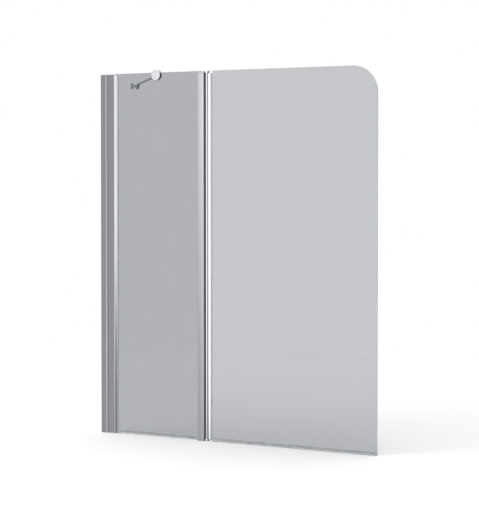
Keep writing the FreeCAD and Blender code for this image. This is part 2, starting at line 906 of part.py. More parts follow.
def place_on_rod(thing, along, up=0, rotation=Rotation()):
    """Puts an object at a distance along the rod's line and above it, turned with the rod."""
    offset = Vector(along.value, 0, as_size(up).value)
    thing.Placement = Placement(rod_root + rod_turn.multVec(offset), rod_turn * rotation)
    return thing


def grub_hole(name, along):
    """The tool for a grub screw's hole, from below the socket to the rod's line."""
    radius = S.rod_grub_radius + S.screw_clearance
    tool = cylinder(name, radius, S.socket_radius + S.cut_overrun)
    return place_on_rod(tool, along, rotation=FACING_DOWN)


socket_length = S.ball_radius + S.socket_floor + S.socket_bore_depth
socket_mouth = rod_span - socket_length
first_grub = socket_mouth + S.rod_grub_setback
second_grub = first_grub + S.rod_grub_spacing
rod_end_start = S.fork_ear_width / 2 + S.rod_end_gap
rod_start = rod_end_start + S.rod_neck_length + S.seat_clearance
rod_bore = S.rod_radius + S.seat_clearance


def make_clamp():
    """The slotted round clamp that sits over the top edge of the fixed glass."""
    depth = clamp_front_face + clamp_back_face
    disc = turned("clamp_disc", [
        (0, 0),
        (S.clamp_radius, 0, S.clamp_edge_round),
        (S.clamp_radius, depth, S.clamp_edge_round),
        (0, depth),
    ])
    place(disc, S.clamp_offset, -clamp_front_face, clamp_height, ALONG_Y)
    reach = S.clamp_radius + S.cut_overrun
    slot_top = S.screen_height + S.glazing_clearance
    slot = box("clamp_slot", reach * 2, clamp_slot_half * 2, slot_top - (clamp_height - reach))
    place(slot, S.clamp_offset - reach, -clamp_slot_half, clamp_height - reach)
    through = S.clamp_back + S.cut_overrun
    shaft = cylinder("clamp_socket_shaft", S.socket_screw_radius + S.screw_clearance, through)
    place(shaft, S.clamp_offset, clamp_slot_half, clamp_height, ALONG_Y)
    countersink = doc.addObject("Part::Cone", "clamp_countersink")
    countersink.setExpression("Radius1", (S.socket_screw_head_radius + S.screw_clearance).text)
    countersink.setExpression("Radius2", (S.socket_screw_radius + S.screw_clearance).text)
    countersink.setExpression("Height", S.socket_screw_head_height.text)
    place(countersink, S.clamp_offset, clamp_slot_half, clamp_height, ALONG_Y)
    grub = cylinder("clamp_grub_hole", S.clamp_grub_radius + S.seat_clearance, through)
    place(grub, S.clamp_offset, clamp_slot_half, clamp_height - S.clamp_grub_drop, ALONG_Y)
    return cut("brace_clamp", disc, [slot, shaft, countersink, grub])


def make_clamp_pads():
    """The clear pads between the clamp and the glass."""
    drop = S.clamp_bridge / 2
    radius = S.clamp_radius - drop - S.clamp_pad_inset
    pads = []
    for name, start in (
        ("front_pad", -(glass_half + S.glazing_clearance + S.clamp_pad_thickness)),
        ("back_pad", glass_half + S.glazing_clearance),
    ):
        disc = cylinder(name, radius, S.clamp_pad_thickness)
        pads.append(place(disc, S.clamp_offset, start, clamp_height - drop, ALONG_Y))
    return grouped("brace_clamp_pads", pads)


def grub_screw(label, radius, length):
    """A grub screw with a plain driving recess at its outer end."""
    return turned(label, [
        (0, 0),
        (radius, 0),
        (radius, length),
        (S.rod_grub_recess_radius, length),
        (S.rod_grub_recess_radius, length - S.rod_grub_recess_depth),
        (0, length - S.rod_grub_recess_depth),
    ])


def make_clamp_grub_screw():
    """The grub screw in the clamp's back that presses the pad on the glass."""
    screw = grub_screw("brace_clamp_grub_screw", S.clamp_grub_radius, S.clamp_back)
    return place(screw, S.clamp_offset, clamp_slot_half, clamp_height - S.clamp_grub_drop, ALONG_Y)


def make_socket():
    """The ball seated on the clamp, with the socket for the rod."""
    ball = doc.addObject("Part::Sphere", "socket_ball")
    ball.setExpression("Radius", S.ball_radius.text)
    place(ball, S.clamp_offset, ball_y, clamp_height)
    barrel = cylinder("socket_barrel", S.socket_radius, socket_length)
    place_on_rod(barrel, socket_mouth, rotation=ALONG_X)
    joined = fuse("socket_joined", [ball, barrel])
    reach = S.ball_radius * 2
    seat = place(
        box("socket_seat", reach * 2, reach, reach * 2),
        S.clamp_offset - reach, clamp_back_face - reach, clamp_height - reach,
    )
    bore = cylinder("socket_bore", rod_bore, S.socket_bore_depth + S.cut_overrun)
    place_on_rod(bore, socket_mouth - S.cut_overrun, rotation=ALONG_X)
    shaft = cylinder("socket_screw_hole", S.socket_screw_radius + S.screw_clearance, S.socket_screw_length)
    place(shaft, S.clamp_offset, clamp_slot_half, clamp_height, ALONG_Y)
    first_hole = grub_hole("socket_first_grub_hole", first_grub)
    second_hole = grub_hole("socket_second_grub_hole", second_grub)
    return cut("brace_socket", joined, [seat, bore, shaft, first_hole, second_hole])


def make_socket_screw():
    """The countersunk screw that holds the socket, driven from inside the clamp's slot."""
    screw = turned("brace_socket_screw", [
        (0, 0),
        (S.socket_screw_head_radius, 0),
        (S.socket_screw_radius, S.socket_screw_head_height),
        (S.socket_screw_radius, S.socket_screw_length - S.seat_clearance),
        (0, S.socket_screw_length - S.seat_clearance),
    ])
    return place(screw, S.clamp_offset, clamp_slot_half + S.seat_clearance, clamp_height, ALONG_Y)


def make_rod():
    """The stay rod from its socket to the rod end, whose stud screws into it."""
    end = socket_mouth + S.socket_bore_depth - S.seat_clearance
    bar = cylinder("rod_bar", S.rod_radius, end - rod_start)
    place_on_rod(bar, rod_start, rotation=ALONG_X)
    bore = cylinder("rod_stud_bore", S.rod_stud_radius + S.seat_clearance, S.rod_stud_length + S.cut_overrun)
    place_on_rod(bore, rod_start - S.cut_overrun, rotation=ALONG_X)
    return cut("brace_rod", bar, [bore])


def make_rod_grub_screws():
    """The two grub screws that hold the rod in its socket."""
    length = S.socket_radius - rod_bore
    screw = grub_screw("rod_grub_screw", S.rod_grub_radius, length)
    copies = []
    for along in (first_grub, second_grub):
        link = doc.addObject("App::Link", "rod_grub_screw_copy")
        link.LinkedObject = screw
        copies.append(place_on_rod(link, along, -rod_bore, FACING_DOWN))
    return grouped("brace_rod_grub_screws", copies)


def make_rod_end():
    """The rod's end piece at the wall: a level tongue with an eye, a riser, and a neck with a stud."""
    eye = cylinder("tongue_eye", S.tongue_eye_radius, S.tongue_thickness)
    place(eye, S.fork_reach, S.fork_offset, fork_height - S.tongue_thickness / 2)
    riser_end = rod_end_start + S.rod_riser_length
    blade = box("tongue_blade", riser_end, S.tongue_width, S.tongue_thickness)
    level = Rotation(rod_yaw, 0, 0)
    foot = S.rod_lift + S.tongue_thickness / 2
    corner = Vector(0, -S.tongue_width.value / 2, -foot.value)
    blade.Placement = Placement(rod_root + level.multVec(corner), level)
    riser_width = S.rod_radius * 2 * S.rod_riser_share
    riser = box("rod_riser", S.rod_riser_length, riser_width, foot)
    corner = Vector(rod_end_start.value, -riser_width.value / 2, -foot.value)
    riser.Placement = Placement(rod_root + level.multVec(corner), level)
    neck = cylinder("rod_neck", S.rod_radius, S.rod_neck_length)
    place_on_rod(neck, rod_end_start, rotation=ALONG_X)
    stud = cylinder("rod_stud", S.rod_stud_radius, S.rod_neck_length + S.rod_stud_length)
    place_on_rod(stud, rod_end_start, rotation=ALONG_X)
    joined = fuse("rod_end_joined", [eye, blade, riser, neck, stud])
    through = S.tongue_thickness + S.cut_overrun * 2
    hole = cylinder("tongue_hole", S.fork_screw_radius + S.seat_clearance, through)
    place(hole, S.fork_reach, S.fork_offset, fork_height - S.tongue_thickness / 2 - S.cut_overrun)
    return cut("brace_rod_end", joined, [hole])


ear_low = S.tongue_thickness / 2 + S.slide_clearance
ear_high = ear_low + S.fork_ear_thickness


def make_fork():
    """The fork bracket on the wall, with two ears about the tongue and a boss between them."""
    body = new_body("brace_wall_fork")
    plate = new_sketch(body, "YZ")
    half_width = S.fork_plate_width / 2
    half_height = S.fork_plate_height / 2
    corner = half_width * S.fork_plate_round_share
    draw_outline(plate, [
        (S.fork_offset - half_width, fork_height - half_height, corner),
        (S.fork_offset + half_width, fork_height - half_height, corner),
        (S.fork_offset + half_width, fork_height + half_height, corner),
        (S.fork_offset - half_width, fork_height + half_height, corner),
    ])
    pad(plate, S.fork_plate_thickness)
    ear_half = S.fork_ear_width / 2
    ear_round = ear_half * S.fork_ear_round_share
    tip = S.fork_reach + ear_half
    for base in (ear_low, -ear_high):
        ear = new_sketch(body, "XY", fork_height + base)
        draw_outline(ear, [
            (0, S.fork_offset - ear_half),
            (tip, S.fork_offset - ear_half, ear_round),
            (tip, S.fork_offset + ear_half, ear_round),
            (0, S.fork_offset + ear_half),
        ])
        pad(ear, S.fork_ear_thickness)
    boss = new_sketch(body, "YZ")
    left = S.fork_offset - ear_half
    right = S.fork_offset + ear_half
    draw_outline(boss, rectangle(left, fork_height - ear_high, right, fork_height + ear_high))
    pad(boss, S.fork_reach - S.tongue_eye_radius - S.fork_boss_gap)
    pin_hole = new_sketch(body, "XY", fork_height)
    draw_circle(pin_hole, S.fork_reach, S.fork_offset, S.fork_screw_radius + S.seat_clearance)
    pocket(pin_hole, both_ways=True)
    screw_holes = new_sketch(body, "YZ")
    for side in (1, -1):
        height = fork_height + S.fork_hole_spacing / 2 * side
        draw_circle(screw_holes, S.fork_offset, height, S.fork_hole_radius)
    pocket(screw_holes, both_ways=True)
    return body


def make_fork_screw():
    """The vertical screw through the fork and the tongue."""
    foot = -(ear_high * 2 + S.cap_nut_thread_depth - S.seat_clearance)
    screw = turned("brace_fork_screw", [
        (0, foot),
        (S.fork_screw_radius, foot),
        (S.fork_screw_radius, 0),
        (S.fork_screw_head_radius, 0),
        (S.fork_screw_head_radius, S.fork_screw_head_height, S.fork_screw_head_height * S.head_round_share),
        (0, S.fork_screw_head_height),
    ])
    cross_recess(screw, S.fork_screw_head_height)
    return place(screw, S.fork_reach, S.fork_offset, fork_height + ear_high)


def make_cap_nut():
    """The domed cap nut under the fork."""
    hexagon = doc.addObject("Part::Prism", "cap_nut_hexagon")
    hexagon.Polygon = 6
    hexagon.setExpression("Circumradius", S.cap_nut_radius.text)
    hexagon.setExpression("Height", S.cap_nut_hex_height.text)
    crown = S.cap_nut_hex_height + S.cap_nut_dome_height
    dome_round = S.cap_nut_dome_radius * S.cap_nut_dome_round_share
    dome = turned("cap_nut_dome", [
        (0, 0),
        (S.cap_nut_dome_radius, 0),
        (S.cap_nut_dome_radius, crown, dome_round),
        (0, crown),
    ])
    thread = cylinder("cap_nut_thread", S.fork_screw_radius + S.running_clearance, S.cap_nut_thread_depth)
    nut = cut("brace_cap_nut", fuse("cap_nut_joined", [hexagon, dome]), [thread])
    return place(nut, S.fork_reach, S.fork_offset, fork_height - ear_high, TOP_DOWN)


def make_all():
    """Builds every piece and returns the objects that become nodes."""
    bracket = make_pivot_bracket()
    pin = make_pivot_pin()
    bush = make_pivot_bush()
    return [
        make_wall_profile(),
        make_adjusting_profile(),
        make_top_cap(),
        make_lock_screws(),
        make_screw_caps(),
        make_glass("fixed_glass", fixed_glass_left, fixed_glass_right),
        make_gasket("wall_side_gasket", adjusting_slot, adjusting_end, 1, 0, profile_top),
        make_gasket("post_side_gasket", post_slot, post_left, -1, S.bracket_thickness, post_length),
        make_setting_blocks(),
        make_fixed_bottom_seal(),
        make_hinge_post(),
        make_gap_strip(),
        bracket,
        upside_down("pivot_bracket_bottom", bracket),
        make_bracket_screws(),
        pin,
        upside_down("pivot_pin_bottom", pin),
        make_clamp(),
        make_clamp_pads(),
        make_clamp_grub_screw(),
        make_socket(),
        make_socket_screw(),
        make_rod(),
        make_rod_grub_screws(),
        make_rod_end(),
        make_fork(),
        make_fork_screw(),
        make_cap_nut(),
        make_swing_profile(),
        bush,
        upside_down("pivot_bush_bottom", bush),
        make_gasket("swing_gasket", swing_slot, channel_end, 1, swing_bottom, swing_top - swing_bottom),
        make_glass("swing_glass", swing_glass_left, S.screen_width, (S.free_corner_radius,)),
        make_swing_bottom_seal(),
    ]


nodes = make_all()
doc.recompute()
failed = [thing.Label for thing in doc.Objects if {"Invalid", "Error"} & set(thing.State)]
failed += [node.Label for node in nodes if node.Shape.isNull() or not node.Shape.isValid()]
if failed:
    raise RuntimeError("failed: " + ", ".join(failed))

os.makedirs("parts", exist_ok=True)
for node in nodes:
    node.Shape.exportStep(f"parts/{node.Label}.step")
    print(f"{node.Label}: {len(node.Shape.Solids)} solids, {node.Shape.Volume:.0f} cubic millimetres")
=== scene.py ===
"""Two-panel shower screen: finishes, polished panes, softened edges and a plain studio."""

import json
import logging
import math
from collections.abc import Callable
from dataclasses import dataclass
from enum import Enum

import bmesh
import bpy
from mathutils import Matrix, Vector


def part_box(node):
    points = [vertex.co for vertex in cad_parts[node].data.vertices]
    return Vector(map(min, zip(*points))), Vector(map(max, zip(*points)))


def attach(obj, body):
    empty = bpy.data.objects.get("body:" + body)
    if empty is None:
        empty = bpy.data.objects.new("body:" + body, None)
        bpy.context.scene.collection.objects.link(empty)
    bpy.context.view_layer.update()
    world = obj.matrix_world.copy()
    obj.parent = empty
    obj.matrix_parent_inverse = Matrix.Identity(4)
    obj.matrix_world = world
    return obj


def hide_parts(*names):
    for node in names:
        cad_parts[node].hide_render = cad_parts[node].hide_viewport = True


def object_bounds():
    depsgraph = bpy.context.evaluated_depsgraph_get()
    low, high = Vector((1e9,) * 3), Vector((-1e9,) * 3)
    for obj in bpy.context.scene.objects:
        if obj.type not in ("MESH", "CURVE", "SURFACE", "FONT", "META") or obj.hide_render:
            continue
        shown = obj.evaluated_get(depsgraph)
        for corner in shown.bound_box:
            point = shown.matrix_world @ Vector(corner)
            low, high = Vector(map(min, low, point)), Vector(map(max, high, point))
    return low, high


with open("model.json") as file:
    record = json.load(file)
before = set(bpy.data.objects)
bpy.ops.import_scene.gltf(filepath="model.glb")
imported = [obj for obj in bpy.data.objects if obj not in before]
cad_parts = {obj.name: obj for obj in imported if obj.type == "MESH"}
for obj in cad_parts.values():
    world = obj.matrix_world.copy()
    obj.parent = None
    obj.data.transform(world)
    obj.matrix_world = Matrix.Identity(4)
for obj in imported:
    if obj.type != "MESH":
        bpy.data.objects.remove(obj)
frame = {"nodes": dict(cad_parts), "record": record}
CAD_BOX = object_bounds()

log = logging.getLogger("shower_screen")
MM = 0.001
WHITE = "#FFFFFF"
CARD_GREY = "#B6B7BA"
CARD_REACH = 12.0
# Nearly all the values of a noise texture lie between these two
NOISE_RANGE = (0.3, 0.7)
BODY_OF = {
    node: body for body, nodes in frame["record"]["behaviour"]["bodies"].items() for node in nodes
}


class Surface(Enum):
    """The finishes on the screen, named for what they are, and for the shade or light that two of them
    paint.
    """

    BRIGHT_ALUMINIUM = "bright_anodised_aluminium"
    POLISHED_CHROME = "polished_chrome_plate"
    SATIN_CHROME = "satin_chrome_plate"
    STAINLESS_STEEL = "turned_stainless_steel"
    SAFETY_GLASS = "toughened_glass"
    # The pane left clear over its gasket, as painted light on the shaded gasket behind it
    PANE_LIT_OVER_GASKET = "clear_toughened_glass"
    GLASS_EDGE = "ground_glass_edge"
    # Dark rubber set in the hinge gap as painted shade
    GAP_SHADE_RUBBER = "black_epdm_rubber"
    CLEAR_VINYL = "clear_soft_pvc"
    PALE_VINYL = "pale_grey_soft_pvc"
    GREY_PLASTIC = "moulded_grey_abs"
    BEARING_PLASTIC = "moulded_white_acetal"


# Materials


def linear(hex_colour: str) -> tuple[float, float, float, float]:
    """Turns an sRGB hex colour into the linear colour that a shader takes.

    Args:
        hex_colour: Six hex digits after a hash sign.

    Returns:
        Linear red, green, blue and a full alpha.
    """
    channels = [int(hex_colour[i : i + 2], 16) / 255 for i in (1, 3, 5)]
    red, green, blue = (c / 12.92 if c <= 0.04045 else ((c + 0.055) / 1.055) ** 2.4 for c in channels)
    return red, green, blue, 1.0


def add_node(
    tree: bpy.types.NodeTree, kind: str, inputs: dict | None = None, **settings: object
) -> bpy.types.Node:
    """Adds a node with its settings, and sets or links its inputs.

    Args:
        tree: The node tree that gets the node.
        kind: The node's Blender type name.
        inputs: Socket name or number to a value, or to an output socket that is linked to it.
        settings: The node's own properties.

    Returns:
        The new node.
    """
    node = tree.nodes.new(kind)
    for name, value in settings.items():
        setattr(node, name, value)
    for name, value in (inputs or {}).items():
        if isinstance(value, bpy.types.NodeSocket):
            tree.links.new(value, node.inputs[name])
        else:
            node.inputs[name].default_value = value
    return node


def new_material(name: str) -> bpy.types.Material:
    """Makes a material with no nodes yet.

    Args:
        name: The material's name.

    Returns:
        The material.
    """
    material = bpy.data.materials.new(name)
    material.use_nodes = True
    material.node_tree.nodes.clear()
    return material


@dataclass(frozen=True)
class Finish:
    """A surface finish: its shader's plain numbers, and a pattern in its gloss, tone and relief.

    The gloss runs between the two values of roughness, and the tone from dark to light. The grain is
    the pattern's length on each axis and the relief its height, in metres.
    """

    surface: Surface
    dark: str
    light: str
    roughness: tuple[float, float]
    grain: tuple[float, float, float]
    relief: float = 0.0
    metallic: float = 0.0
    transmission: float = 0.0
    ior: float = 1.5
    detail: float = 2.0

    def build(self) -> bpy.types.Material:
        """Makes the material.

        Returns:
            A material whose noise, on object coordinates, is as long as the grain on each axis.
        """
        material = new_material(self.surface.value)
        tree = material.node_tree
        place = add_node(tree, "ShaderNodeTexCoord")
        scale = Vector([1 / length for length in self.grain])
        grain = add_node(tree, "ShaderNodeMapping", {"Vector": place.outputs["Object"], "Scale": scale})
        noise = add_node(tree, "ShaderNodeTexNoise", {
            "Vector": grain.outputs[0], "Scale": 1.0, "Detail": self.detail,
        })
        gloss = add_node(tree, "ShaderNodeMapRange", {
            "Value": noise.outputs["Fac"],
            "From Min": NOISE_RANGE[0], "From Max": NOISE_RANGE[1],
            "To Min": self.roughness[0], "To Max": self.roughness[1],
        })
        shader = add_node(tree, "ShaderNodeBsdfPrincipled", {
            "Roughness": gloss.outputs["Result"],
            "Metallic": self.metallic,
            "Transmission Weight": self.transmission,
            "IOR": self.ior,
        })
        if self.dark == self.light:
            shader.inputs["Base Color"].default_value = linear(self.light)
        else:
            tone = add_node(tree, "ShaderNodeMix", {
                "Factor": noise.outputs["Fac"], "A": linear(self.dark), "B": linear(self.light),
            }, data_type="RGBA")
            tree.links.new(tone.outputs["Result"], shader.inputs["Base Color"])
        if self.relief:
            bump = add_node(tree, "ShaderNodeBump", {
                "Height": noise.outputs["Fac"], "Strength": 1.0, "Distance": self.relief,
            })
            tree.links.new(bump.outputs["Normal"], shader.inputs["Normal"])
        add_node(tree, "ShaderNodeOutputMaterial", {"Surface": shader.outputs["BSDF"]})
        return material


# A grain finer than half a millimetre is drawn that coarse or coarser, so that it shows up close
FINISHES = (
    # Extruded and bright anodised: soft mirror with fine die lines along the bar
    Finish(
        Surface.BRIGHT_ALUMINIUM, "#D2D3D6", "#E2E3E6", (0.03, 0.06), (1.6 * MM, 1.6 * MM, 400 * MM),
        relief=0.0015 * MM, metallic=1.0,
    ),
    # Bright plate on brass: a clean mirror, with the faintest smears
    Finish(
        Surface.POLISHED_CHROME, "#C6C8CB", "#C6C8CB", (0.03, 0.08), (18 * MM, 18 * MM, 18 * MM),
        metallic=1.0,
    ),
    # Plate over a blasted face: a soft even sheen that spreads the light
    Finish(
        Surface.SATIN_CHROME, "#DDDFE2", "#E8E9EC", (0.26, 0.34), (0.9 * MM, 0.9 * MM, 0.9 * MM),
        relief=0.003 * MM, metallic=1.0,
    ),
    # Turned screws and pins: greyer metal with a fine tool mark
    Finish(
        Surface.STAINLESS_STEEL, "#A9AAAB", "#C2C3C4", (0.22, 0.36), (0.5 * MM, 0.5 * MM, 0.5 * MM),
        relief=0.004 * MM, metallic=1.0,
    ),
    # Float glass, toughened on rollers: flat and clear, with a long faint wave
    Finish(
        Surface.SAFETY_GLASS, "#B2B4B8", "#B2B4B8", (0.0, 0.01), (600 * MM, 600 * MM, 280 * MM),
        relief=0.01 * MM, transmission=1.0, ior=1.52, detail=0.0,
    ),
    # The same pane over its gasket, left clear as painted light, so that the shaded gasket behind it
    # shows pale
    Finish(
        Surface.PANE_LIT_OVER_GASKET, "#EDF0F0", "#EDF0F0", (0.0, 0.01), (600 * MM, 600 * MM, 280 * MM),
        transmission=1.0, ior=1.52, detail=0.0,
    ),
    # Ground edge with a satin polish: pale and slightly green, brighter than the pane's faces
    Finish(
        Surface.GLASS_EDGE, "#D3DDDA", "#E2E9E7", (0.25, 0.38), (0.8 * MM, 0.8 * MM, 6 * MM),
        transmission=0.4, ior=1.52,
    ),
    # Extruded EPDM, filled black and set in the hinge gap as painted shade: dull, with a fine skin
    Finish(
        Surface.GAP_SHADE_RUBBER, "#54555A", "#66676C", (0.55, 0.72), (0.6 * MM, 0.6 * MM, 8 * MM),
        relief=0.02 * MM,
    ),
    # Soft PVC: milky clear and waxy, with streaks along the strip
    Finish(
        Surface.CLEAR_VINYL, "#DCDEE1", "#ECEEF0", (0.22, 0.38), (40 * MM, 1.2 * MM, 1.2 * MM),
        transmission=0.7, ior=1.53,
    ),
    # Soft PVC with a pale filler: dull and close to the glass in tone
    Finish(
        Surface.PALE_VINYL, "#DCDEE0", "#E8EAEC", (0.45, 0.60), (0.6 * MM, 0.6 * MM, 8 * MM),
        relief=0.02 * MM, transmission=0.2, ior=1.53,
    ),
    # Moulded ABS: even grey with a spark-eroded grain
    Finish(
        Surface.GREY_PLASTIC, "#9A9CA0", "#A6A8AC", (0.38, 0.52), (0.5 * MM, 0.5 * MM, 0.5 * MM),
        relief=0.015 * MM,
    ),
    # Moulded acetal: white, dense and slightly waxy
    Finish(
        Surface.BEARING_PLASTIC, "#E2E1DB", "#EDECE7", (0.28, 0.40), (0.7 * MM, 0.7 * MM, 0.7 * MM),
        relief=0.006 * MM,
    ),
)


# Modelling by hand


def make_active(piece: bpy.types.Object) -> None:
    """Selects one object alone and makes it active.

    Args:
        piece: The object.
    """
    bpy.ops.object.select_all(action="DESELECT")
    piece.select_set(True)
    bpy.context.view_layer.objects.active = piece


def select_edges(piece: bpy.types.Object, wanted: Callable[[bmesh.types.BMEdge], bool]) -> None:
    """Selects edges of the object in edit mode, and nothing else.

    Args:
        piece: The object that is in edit mode.
        wanted: Says of an edge whether it is selected.
    """
    bpy.ops.mesh.select_mode(type="EDGE")
    bpy.ops.mesh.select_all(action="DESELECT")
    mesh = bmesh.from_edit_mesh(piece.data)
    for edge in mesh.edges:
        edge.select_set(wanted(edge))
    bmesh.update_edit_mesh(piece.data)


def select_faces(piece: bpy.types.Object, wanted: Callable[[bmesh.types.BMFace], bool]) -> None:
    """Selects faces of the object in edit mode, and nothing else.

    Args:
        piece: The object that is in edit mode.
        wanted: Says of a face whether it is selected.
    """
    bpy.ops.mesh.select_mode(type="FACE")
    bpy.ops.mesh.select_all(action="DESELECT")
    mesh = bmesh.from_edit_mesh(piece.data)
    for face in mesh.faces:
        face.select_set(wanted(face))
    bmesh.update_edit_mesh(piece.data)


def apply_modifier(piece: bpy.types.Object, kind: str, **settings: object) -> None:
    """Adds a modifier with its settings to the active object and applies it.

    Args:
        piece: The active object.
        kind: The modifier's Blender type name.
        settings: The modifier's own properties.
    """
    modifier = piece.modifiers.new(kind.title(), kind)
    for name, value in settings.items():
        setattr(modifier, name, value)
    bpy.ops.object.modifier_apply(modifier=modifier.name)


@dataclass
class SubAssembly:
    """Pieces that belong together. Each class below holds the sizes of its edges."""

    materials: dict[Surface, bpy.types.Material]
    sharp_angle: float = math.radians(35)
    flat_angle: float = math.radians(0.4)
    weld_distance: float = 0.001 * MM

    def dress(self, piece: bpy.types.Object, surface: Surface) -> bpy.types.Object:
        """Gives a piece one finish all over.

        Args:
            piece: A new piece or a CAD node.
            surface: The finish.

        Returns:
            The piece.
        """
        if not piece.material_slots:
            piece.data.materials.append(None)
        for slot in piece.material_slots:
            slot.material = self.materials[surface]
        return piece

    def keep(self, node: str, surface: Surface) -> bpy.types.Object:
        """Keeps a CAD node as it is and gives it a finish.

        Args:
            node: The node's name.
            surface: The finish.

        Returns:
            The node's object.
        """
        return self.dress(frame["nodes"][node], surface)

    def stand_in(self, piece: bpy.types.Object, node: str) -> bpy.types.Object:
        """Lets a new piece ride where a CAD node rides, and stand for it.

        Args:
            piece: The new piece, in place.
            node: The node's name.

        Returns:
            The piece.
        """
        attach(piece, BODY_OF[node])
        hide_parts(node)
        return piece

    def soften(self, node: str, surface: Surface, radius: float, segments: int = 2) -> bpy.types.Object:
        """Stands a copy with rounded edges in for a CAD node, as a file or a tumbler leaves them.

        Args:
            node: The node's name.
            surface: The finish.
            radius: How far each sharp edge is rounded.
            segments: Faces across each rounded edge.

        Returns:
            The new piece.
        """
        piece = bpy.data.objects.new(f"{node}_finished", frame["nodes"][node].data.copy())
        bpy.context.scene.collection.objects.link(piece)
        make_active(piece)
        bpy.ops.object.mode_set(mode="EDIT")
        bpy.ops.mesh.select_all(action="SELECT")
        bpy.ops.mesh.customdata_custom_splitnormals_clear()
        bpy.ops.mesh.remove_doubles(threshold=self.weld_distance)
        bpy.ops.mesh.dissolve_limited(angle_limit=self.flat_angle)
        bpy.ops.object.mode_set(mode="OBJECT")
        apply_modifier(
            piece, "BEVEL", width=radius, segments=segments, limit_method="ANGLE",
            angle_limit=self.sharp_angle,
        )
        bpy.ops.object.shade_smooth_by_angle(angle=self.sharp_angle)
        apply_modifier(piece, "WEIGHTED_NORMAL", keep_sharp=True)
        return self.dress(self.stand_in(piece, node), surface)

    def build(self) -> list[bpy.types.Object]:
        """Builds and dresses the pieces, and returns them."""
        raise NotImplementedError


@dataclass
class FixedEdge(SubAssembly):
    """The two profiles that hold the fixed pane's left edge, with their cap, screws and gasket."""

    profile_edge: float = 0.4 * MM
    cap_edge: float = 0.6 * MM
    screw_cap_edge: float = 0.3 * MM
    gasket_edge: float = 0.3 * MM
    block_edge: float = 0.5 * MM

    def build(self) -> list[bpy.types.Object]:
        """Softens the profiles' edges and dresses the pieces in and on them.

        Returns:
            The pieces.
        """
        return [
            self.soften("wall_profile", Surface.BRIGHT_ALUMINIUM, self.profile_edge),
            self.soften("adjusting_profile", Surface.BRIGHT_ALUMINIUM, self.profile_edge),
            self.soften("top_cap", Surface.GREY_PLASTIC, self.cap_edge),
            self.soften("screw_caps", Surface.GREY_PLASTIC, self.screw_cap_edge),
            self.soften("wall_side_gasket", Surface.PALE_VINYL, self.gasket_edge),
            self.soften("setting_blocks", Surface.BEARING_PLASTIC, self.block_edge),
            self.keep("lock_screws", Surface.STAINLESS_STEEL),
        ]


@dataclass
class Panes(SubAssembly):
    """The two panes with their polished edges, and the seals along the bottom.

    A face belongs to a pane's edge where its normal has less than face_normal across the pane.
    """

    arris: float = 0.6 * MM
    # How far past the gasket the pane is left clear, as painted light
    painted_light_margin: float = 2 * MM
    free_corner_radius: float = 100 * MM
    corner_segments: int = 32
    seal_edge: float = 0.25 * MM
    same_place: float = 1 * MM
    face_normal: float = 0.9
    shading_angle: float = math.radians(20)

    def pane(self, node: str, gasket: str, free_corner: bool) -> bpy.types.Object:
        """Models a pane in the space that a CAD node holds.

        Args:
            node: The node's name.
            gasket: The node of the gasket on the pane's left edge.
            free_corner: Whether the pane's top right corner is rounded.

        Returns:
            The new pane, with finishes of their own on its faces, its left margin and its edges; the
            margin is left clear as painted light on the gasket behind it.
        """
        low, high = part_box(node)
        bpy.ops.object.select_all(action="DESELECT")
        bpy.ops.mesh.primitive_cube_add(size=1, location=(low + high) / 2, scale=high - low)
        pane = bpy.context.object
        pane.name = f"{node}_pane"
        bpy.ops.object.transform_apply(location=True, rotation=True, scale=True)
        bpy.ops.object.mode_set(mode="EDIT")
        if free_corner:
            corner = Vector((high.x, 0, high.z))
            select_edges(pane, lambda edge: all(
                (Vector((v.co.x, 0, v.co.z)) - corner).length < self.same_place for v in edge.verts
            ))
            bpy.ops.mesh.bevel(
                offset=self.free_corner_radius, segments=self.corner_segments, affect="EDGES"
            )
        select_edges(pane, lambda edge: abs(edge.verts[0].co.y - edge.verts[1].co.y) < self.same_place)
        bpy.ops.mesh.bevel(offset=self.arris, segments=1, affect="EDGES")
        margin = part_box(gasket)[1].x + self.painted_light_margin
        bpy.ops.mesh.select_all(action="SELECT")
        bpy.ops.mesh.bisect(plane_co=(margin, 0, 0), plane_no=(1, 0, 0))
        for index, (surface, wanted) in enumerate((
            (Surface.SAFETY_GLASS, lambda face: True),
            # The pane over the gasket is left clear, as painted light on the shaded gasket behind it
            (Surface.PANE_LIT_OVER_GASKET, lambda face: face.calc_center_median().x < margin),
            (Surface.GLASS_EDGE, lambda face: abs(face.normal.y) < self.face_normal),
        )):
            pane.data.materials.append(self.materials[surface])
            select_faces(pane, wanted)
            pane.active_material_index = index
            bpy.ops.object.material_slot_assign()
        bpy.ops.object.mode_set(mode="OBJECT")
        bpy.ops.object.shade_smooth_by_angle(angle=self.shading_angle)
        return self.stand_in(pane, node)

    def build(self) -> list[bpy.types.Object]:
        """Models both panes and softens both seals.

        Returns:
            The pieces.
        """
        return [
            self.pane("fixed_glass", "wall_side_gasket", free_corner=False),
            self.pane("swing_glass", "swing_gasket", free_corner=True),
            self.soften("fixed_bottom_seal", Surface.CLEAR_VINYL, self.seal_edge),
            self.soften("swing_bottom_seal", Surface.CLEAR_VINYL, self.seal_edge),
        ]


